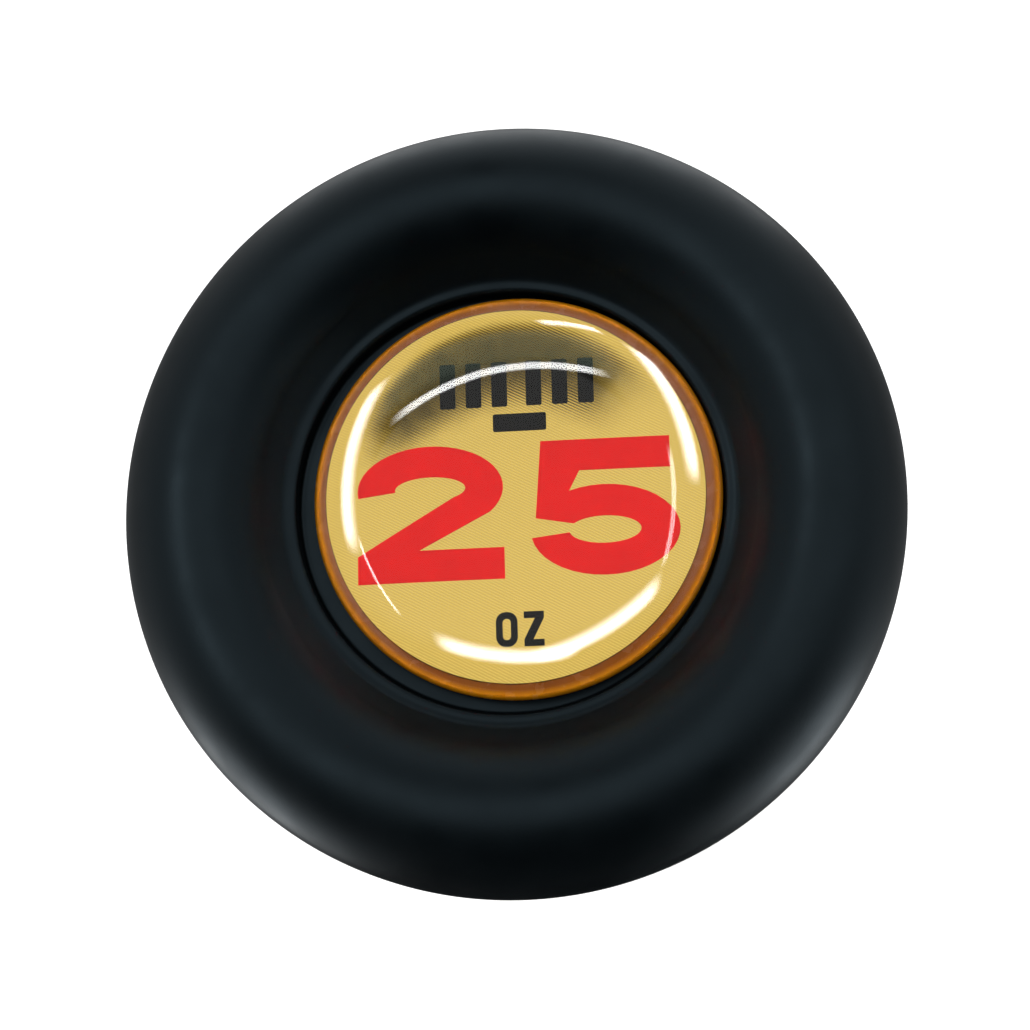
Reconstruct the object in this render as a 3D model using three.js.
// Swing trainer stick: a slim-barrel bat-type stick with a round rubber knob, a gold domed weight
// label in the knob's end and an end load under the barrel's cap.
// Millimetres, +Z along the stick, standing on its end cap: z = 0 is the cap's flat face and the
// knob's crown is the highest point. +Y is the "up" direction of the label's print.
import * as THREE from 'three';

// ---- driving dimensions -------------------------------------------------------------------
const LENGTH = 864; // 34 inches, end cap face to knob crown
const SEGMENTS = 40; // facets round every turned piece
const FIT = 0.1; // radial clearance of one turned piece in another
const FACE_GAP = 0.05; // gap between two faces that touch

// knob: a torus front with a flared back
const KNOB_R = 25; // outer radius
const TUBE_R = 5; // radius of the rounded front rim
const RING_R = KNOB_R - TUBE_R; // radius of the circle that the rim's centre runs on
const BACK_R = 6; // radius of the rounded back edge
const KNOB_DEPTH = 24; // crown to the end of the flare
const FLARE_END_R = 12.5;
const WALL_ANGLE = 62; // degrees from the crown to where the inner wall becomes straight
const LEDGE_DEPTH = 4.0; // crown to the flat ledge round the label
const LEDGE_OUTER_R = 14.5;
const SEAT_R = 13.7; // label seat
const SEAT_DEPTH = 5.2;
const SEAT_EDGE = 0.3; // rounding of the seat's edge
const SCREW_POCKET_R = 9.5;
const SCREW_POCKET_DEPTH = 10.4;
const SCREW_HOLE_R = 3.0;
const HANDLE_END_DEPTH = 12.8; // crown to the handle tube's upper end

// label: adhesive pad, amber backing, printed foil and clear resin dome
const LABEL_R = 13.06;
const LABEL_X = 0.54; // the label sits a little off the knob's centre
const LABEL_Y = 0.15;
const PAD_R = 12.4;
const PAD_T = 0.6;
const BACKING_T = 0.5;
const FOIL_R = 12.2;
const FOIL_T = 0.12;
const DOME_EDGE_T = 0.3;
const DOME_RISE = 1.0;

// handle, grip and joint
const HANDLE_R = 11.1;
const HANDLE_WALL = 2.2;
const HANDLE_BOTTOM = 446;
const GRIP_R = 12.9;
const GRIP_BOTTOM = 560;
const TAPE_LENGTH = 16;
const TAPE_R = 12.2;
const SLEEVE_R = 12.6;
const SLEEVE_BOTTOM = 440;
const NECK_R = 14.2;
const NECK_TOP = 486;
const RING_TOP = 500;
const RING_TOP_R = 12.3;

// barrel
const BARREL_R = 22.25; // 1 3/4 inch barrel
const BARREL_WALL = 2.0;
const BARREL_BOTTOM = 10;
const TAPER_BOTTOM = 320;
const TAPER_TOP = 470;
const TAPER_STEPS = 8;

// end cap and end load
const CAP_FLAT_R = 19.5;
const CAP_EDGE_R = BARREL_R - CAP_FLAT_R;
const CAP_PLUG_TOP = 34;
const CAP_PLUG_WALL = 3.2;
const CAP_FLOOR = 8;
const CAP_DISH_R = 12;
const CAP_DISH_DEPTH = 1.5;
const PAD_THICKNESS = 6;
const LOAD_THICKNESS = 10.3; // sets the stick's weight: 25 oz in all
const LOAD_CHAMFER = 1;
const STOP_RING_T = 5;
const STOP_RING_BORE_R = 14;

// knob fixing
const SCREW_R = 2.5;
const SCREW_HEAD_R = 5;
const SCREW_HEAD_T = 2.8;
const SCREW_LENGTH = 24;
const SOCKET_R = 1.7;
const SOCKET_DEPTH = 1.6;
const WASHER_R = 9;
const WASHER_T = 1.6;
const PLUG_LENGTH = 32;
const PLUG_BORE_DEPTH = 26;

// printed bands round the barrel: [height of the lower edge, width]
const BAND_T = 0.15;
const BAND_GAP = 0.05;
const GOLD_BANDS = { barrel_band_lower: [96, 4], barrel_band_upper: [268, 4] };
const RED_BAND = [104, 10];

// ---- materials ----------------------------------------------------------------------------
const finish = (color, roughness, metalness) =>
  new THREE.MeshStandardMaterial({ color, roughness, metalness });

const knobRubber = finish(0x17191d, 0.5, 0);
const softRubber = finish(0x202124, 0.8, 0);
const foam = finish(0xd8d4c8, 0.9, 0);
const amber = finish(0xb4640a, 0.35, 0);
const goldFoil = finish(0xd7be69, 0.25, 0.9);
const clearResin = new THREE.MeshStandardMaterial({
  color: 0xfff6e0, roughness: 0.05, metalness: 0, transparent: true, opacity: 0.35 });
const steel = finish(0x8d9094, 0.4, 1);
const aluminium = finish(0xb4b7ba, 0.4, 1);
const blackPaint = finish(0x101114, 0.3, 0.2);
const gripLeather = finish(0x1b1c1f, 0.7, 0);
const nylon = finish(0x2a2b2e, 0.6, 0);
const goldPaint = finish(0xc9a44a, 0.35, 0.6);
const redPaint = finish(0xd3281f, 0.4, 0);

// ---- profile helpers ----------------------------------------------------------------------
const rad = (degrees) => (degrees * Math.PI) / 180;

// Points of an elliptical arc in the (radius, height) plane, angles in degrees from +radius.
function arc(r, z, a, b, from, to, steps) {
  const points = [];
  for (let i = 0; i <= steps; i += 1) {
    const t = rad(from + ((to - from) * i) / steps);
    points.push([r + a * Math.cos(t), z + b * Math.sin(t)]);
  }
  return points;
}

// Fillet of radius f between the lines p-q and q-s, as points.
function fillet(p, q, s, f, steps) {
  const a = new THREE.Vector2(p[0] - q[0], p[1] - q[1]).normalize();
  const b = new THREE.Vector2(s[0] - q[0], s[1] - q[1]).normalize();
  const half = Math.acos(a.dot(b)) / 2;
  const middle = a.clone().add(b).normalize().multiplyScalar(f / Math.sin(half));
  const corner = new THREE.Vector2(q[0], q[1]);
  const centre = corner.clone().add(middle);
  const start = corner.clone().addScaledVector(a, f / Math.tan(half)).sub(centre);
  const end = corner.clone().addScaledVector(b, f / Math.tan(half)).sub(centre);
  let turn = end.angle() - start.angle();
  if (turn > Math.PI) turn -= 2 * Math.PI;
  if (turn < -Math.PI) turn += 2 * Math.PI;
  const points = [];
  for (let i = 0; i <= steps; i += 1) {
    const spoke = start.clone().rotateAround(new THREE.Vector2(0, 0), (turn * i) / steps);
    points.push([centre.x + spoke.x, centre.y + spoke.y]);
  }
  return points;
}

const model = new THREE.Group();

// A turned piece about the stick's axis. The profile runs anticlockwise in the (radius, height)
// plane; it starts and ends on the axis, or it is closed here into a ring.
function turned(name, profile, material, x = 0, y = 0) {
  const points = profile.map(([r, z]) => new THREE.Vector2(r, z));
  const onAxis = profile[0][0] === 0;
  if (!onAxis) points.push(points[0].clone());
  const geometry = new THREE.LatheGeometry(points, SEGMENTS);
  geometry.rotateX(Math.PI / 2);
  const mesh = new THREE.Mesh(geometry, material);
  mesh.name = name;
  mesh.position.set(x, y, 0);
  model.add(mesh);
}

// A plain round disc and a plain ring.
const disc = (r, bottom, top) => [[0, bottom], [r, bottom], [r, top], [0, top]];
const ring = (inner, outer, bottom, top) =>
  [[inner, bottom], [outer, bottom], [outer, top], [inner, top]];

// ---- knob ---------------------------------------------------------------------------------
const rimZ = LENGTH - TUBE_R;
const backZ = rimZ - BACK_R;
const flareZ = LENGTH - KNOB_DEPTH;
const ledgeZ = LENGTH - LEDGE_DEPTH;
const seatZ = LENGTH - SEAT_DEPTH;
const pocketZ = LENGTH - SCREW_POCKET_DEPTH;
const handleTop = LENGTH - HANDLE_END_DEPTH;

function knob() {
  const flareR = KNOB_R - BACK_R;
  const wallTop = [RING_R - TUBE_R * Math.sin(rad(WALL_ANGLE)), rimZ + TUBE_R * Math.cos(rad(WALL_ANGLE))];
  const ledgeOuter = [LEDGE_OUTER_R, ledgeZ];
  const seatEdge = [SEAT_R, ledgeZ];
  const seatFloor = [SEAT_R, seatZ];
  turned('knob', [
    [HANDLE_R + FIT, flareZ],
    ...arc(flareR, flareZ, flareR - FLARE_END_R, backZ - flareZ, 180, 90, 6),
    ...arc(flareR, rimZ, BACK_R, BACK_R, -72, 0, 4),
    ...arc(RING_R, rimZ, TUBE_R, TUBE_R, 15, 90, 5),
    ...arc(RING_R, rimZ, TUBE_R, TUBE_R, 105, 90 + WALL_ANGLE, 4),
    ...fillet(wallTop, ledgeOuter, seatEdge, 0.8, 3),
    ...fillet(ledgeOuter, seatEdge, seatFloor, SEAT_EDGE, 2),
    seatFloor,
    [SCREW_POCKET_R, seatZ],
    [SCREW_POCKET_R, pocketZ],
    [SCREW_HOLE_R, pocketZ],
    [SCREW_HOLE_R, handleTop + FACE_GAP],
    [HANDLE_R + FIT, handleTop + FACE_GAP],
  ], knobRubber);
}

// Screw, washer and threaded plug that hold the knob on the handle, under the label.
function knobFixing() {
  const washerZ = pocketZ + FACE_GAP;
  turned('knob_washer', ring(SCREW_R + FIT, WASHER_R, washerZ, washerZ + WASHER_T), steel);
  const headZ = washerZ + WASHER_T + FACE_GAP;
  const headTop = headZ + SCREW_HEAD_T;
  turned('knob_screw', [
    [0, headZ - SCREW_LENGTH],
    [SCREW_R - 0.6, headZ - SCREW_LENGTH],
    [SCREW_R, headZ - SCREW_LENGTH + 0.8],
    [SCREW_R, headZ],
    [SCREW_HEAD_R, headZ],
    [SCREW_HEAD_R, headTop - 1],
    [SCREW_HEAD_R - 1.2, headTop],
    [SOCKET_R, headTop],
    [SOCKET_R, headTop - SOCKET_DEPTH],
    [0, headTop - SOCKET_DEPTH],
  ], steel);
  const plugR = HANDLE_R - HANDLE_WALL - FIT;
  turned('butt_plug', [
    [0, handleTop - PLUG_LENGTH],
    [plugR - 1, handleTop - PLUG_LENGTH],
    [plugR, handleTop - PLUG_LENGTH + 2],
    [plugR, handleTop],
    [SCREW_R + FIT, handleTop],
    [SCREW_R + FIT, handleTop - PLUG_BORE_DEPTH],
    [0, handleTop - PLUG_BORE_DEPTH - 1.5],
  ], aluminium);
}

// ---- label --------------------------------------------------------------------------------
function label() {
  const padZ = seatZ + FACE_GAP;
  const backingZ = padZ + PAD_T + FACE_GAP;
  const foilZ = backingZ + BACKING_T + FACE_GAP;
  const domeZ = foilZ + FOIL_T + FACE_GAP;
  const domeEdge = domeZ + DOME_EDGE_T;
  turned('label_pad', disc(PAD_R, padZ, padZ + PAD_T), foam, LABEL_X, LABEL_Y);
  turned('label_backing', disc(LABEL_R, backingZ, backingZ + BACKING_T), amber, LABEL_X, LABEL_Y);
  turned('label_foil', disc(FOIL_R, foilZ, foilZ + FOIL_T), goldFoil, LABEL_X, LABEL_Y);
  const crown = arc(0, domeEdge, LABEL_R, DOME_RISE, 0, 90, 6).slice(0, -1);
  turned('label_dome', [[0, domeZ], [LABEL_R, domeZ], ...crown, [0, domeEdge + DOME_RISE]],
    clearResin, LABEL_X, LABEL_Y);
}

// ---- handle, grip and joint to the barrel --------------------------------------------------
function handle() {
  turned('handle_tube', ring(HANDLE_R - HANDLE_WALL, HANDLE_R, HANDLE_BOTTOM, handleTop), blackPaint);
  const gripTop = flareZ - 0.3;
  turned('grip_wrap', [
    [HANDLE_R + FIT, GRIP_BOTTOM],
    [GRIP_R - 0.8, GRIP_BOTTOM],
    [GRIP_R, GRIP_BOTTOM + 3],
    [GRIP_R, gripTop - 4],
    [FLARE_END_R, gripTop],
    [HANDLE_R + FIT, gripTop],
  ], gripLeather);
  const tapeTop = GRIP_BOTTOM - FACE_GAP;
  turned('grip_end_tape', [
    [HANDLE_R + FIT, tapeTop - TAPE_LENGTH],
    [TAPE_R - 0.4, tapeTop - TAPE_LENGTH],
    [TAPE_R, tapeTop - TAPE_LENGTH + 1],
    [TAPE_R, tapeTop],
    [HANDLE_R + FIT, tapeTop],
  ], softRubber);
}

function joint() {
  turned('joint_sleeve', ring(HANDLE_R + FIT, SLEEVE_R, SLEEVE_BOTTOM, NECK_TOP), nylon);
  const ringBottom = NECK_TOP + FACE_GAP;
  turned('joint_collar', [
    [HANDLE_R + FIT, ringBottom],
    [NECK_R, ringBottom],
    ...arc(RING_TOP_R + 0.6, ringBottom + 3, NECK_R - RING_TOP_R - 0.2, RING_TOP - ringBottom - 3, 0, 60, 4),
    [RING_TOP_R, RING_TOP],
    [HANDLE_R + FIT, RING_TOP],
  ], softRubber);
}

// ---- barrel -------------------------------------------------------------------------------
// Outer radius of the taper at the fraction t of its height: a smooth S from barrel to neck.
const taperR = (t) => NECK_R + ((BARREL_R - NECK_R) * (1 + Math.cos(Math.PI * t))) / 2;

function barrel() {
  const outer = [];
  const inner = [];
  const neckBore = SLEEVE_R + FIT;
  for (let i = 0; i <= TAPER_STEPS; i += 1) {
    const t = i / TAPER_STEPS;
    const z = TAPER_BOTTOM + (TAPER_TOP - TAPER_BOTTOM) * t;
    const wall = BARREL_WALL + (NECK_R - neckBore - BARREL_WALL) * t;
    outer.push([taperR(t), z]);
    inner.unshift([taperR(t) - wall, z]);
  }
  const bore = BARREL_R - BARREL_WALL;
  turned('barrel_tube', [
    [bore, BARREL_BOTTOM],
    [BARREL_R, BARREL_BOTTOM],
    ...outer,
    [NECK_R, NECK_TOP],
    [neckBore, NECK_TOP],
    ...inner,
  ], blackPaint);
  const bandR = BARREL_R + BAND_GAP;
  for (const [name, [bottom, width]] of Object.entries(GOLD_BANDS)) {
    turned(name, ring(bandR, bandR + BAND_T, bottom, bottom + width), goldPaint);
  }
  turned('barrel_band_red', ring(bandR, bandR + BAND_T, RED_BAND[0], RED_BAND[0] + RED_BAND[1]), redPaint);
}

// ---- end cap and end load -----------------------------------------------------------------
function endCap() {
  const plugR = BARREL_R - BARREL_WALL - FIT;
  const flangeTop = BARREL_BOTTOM - FACE_GAP;
  turned('end_cap', [
    [0, CAP_DISH_DEPTH],
    [CAP_DISH_R, CAP_DISH_DEPTH],
    [CAP_DISH_R + 1, 0],
    ...arc(CAP_FLAT_R, CAP_EDGE_R, CAP_EDGE_R, CAP_EDGE_R, -90, 0, 4),
    [BARREL_R, flangeTop],
    [plugR, flangeTop],
    [plugR, CAP_PLUG_TOP - 1],
    [plugR - 1, CAP_PLUG_TOP],
    [plugR - CAP_PLUG_WALL, CAP_PLUG_TOP],
    [plugR - CAP_PLUG_WALL, CAP_FLOOR],
    [0, CAP_FLOOR],
  ], softRubber);
}

function endLoad() {
  const r = BARREL_R - BARREL_WALL - 2 * FIT;
  const lowerPad = CAP_PLUG_TOP + FACE_GAP;
  const loadZ = lowerPad + PAD_THICKNESS + FACE_GAP;
  const loadTop = loadZ + LOAD_THICKNESS;
  const upperPad = loadTop + FACE_GAP;
  const stopZ = upperPad + PAD_THICKNESS + FACE_GAP;
  turned('load_pad_lower', disc(r, lowerPad, lowerPad + PAD_THICKNESS), softRubber);
  turned('load_weight', [
    [0, loadZ],
    [r - LOAD_CHAMFER, loadZ],
    [r, loadZ + LOAD_CHAMFER],
    [r, loadTop - LOAD_CHAMFER],
    [r - LOAD_CHAMFER, loadTop],
    [0, loadTop],
  ], steel);
  turned('load_pad_upper', disc(r, upperPad, upperPad + PAD_THICKNESS), softRubber);
  turned('load_stop_ring', ring(STOP_RING_BORE_R, r, stopZ, stopZ + STOP_RING_T), aluminium);
}

knob();
knobFixing();
label();
handle();
joint();
barrel();
endCap();
endLoad();

export default model;
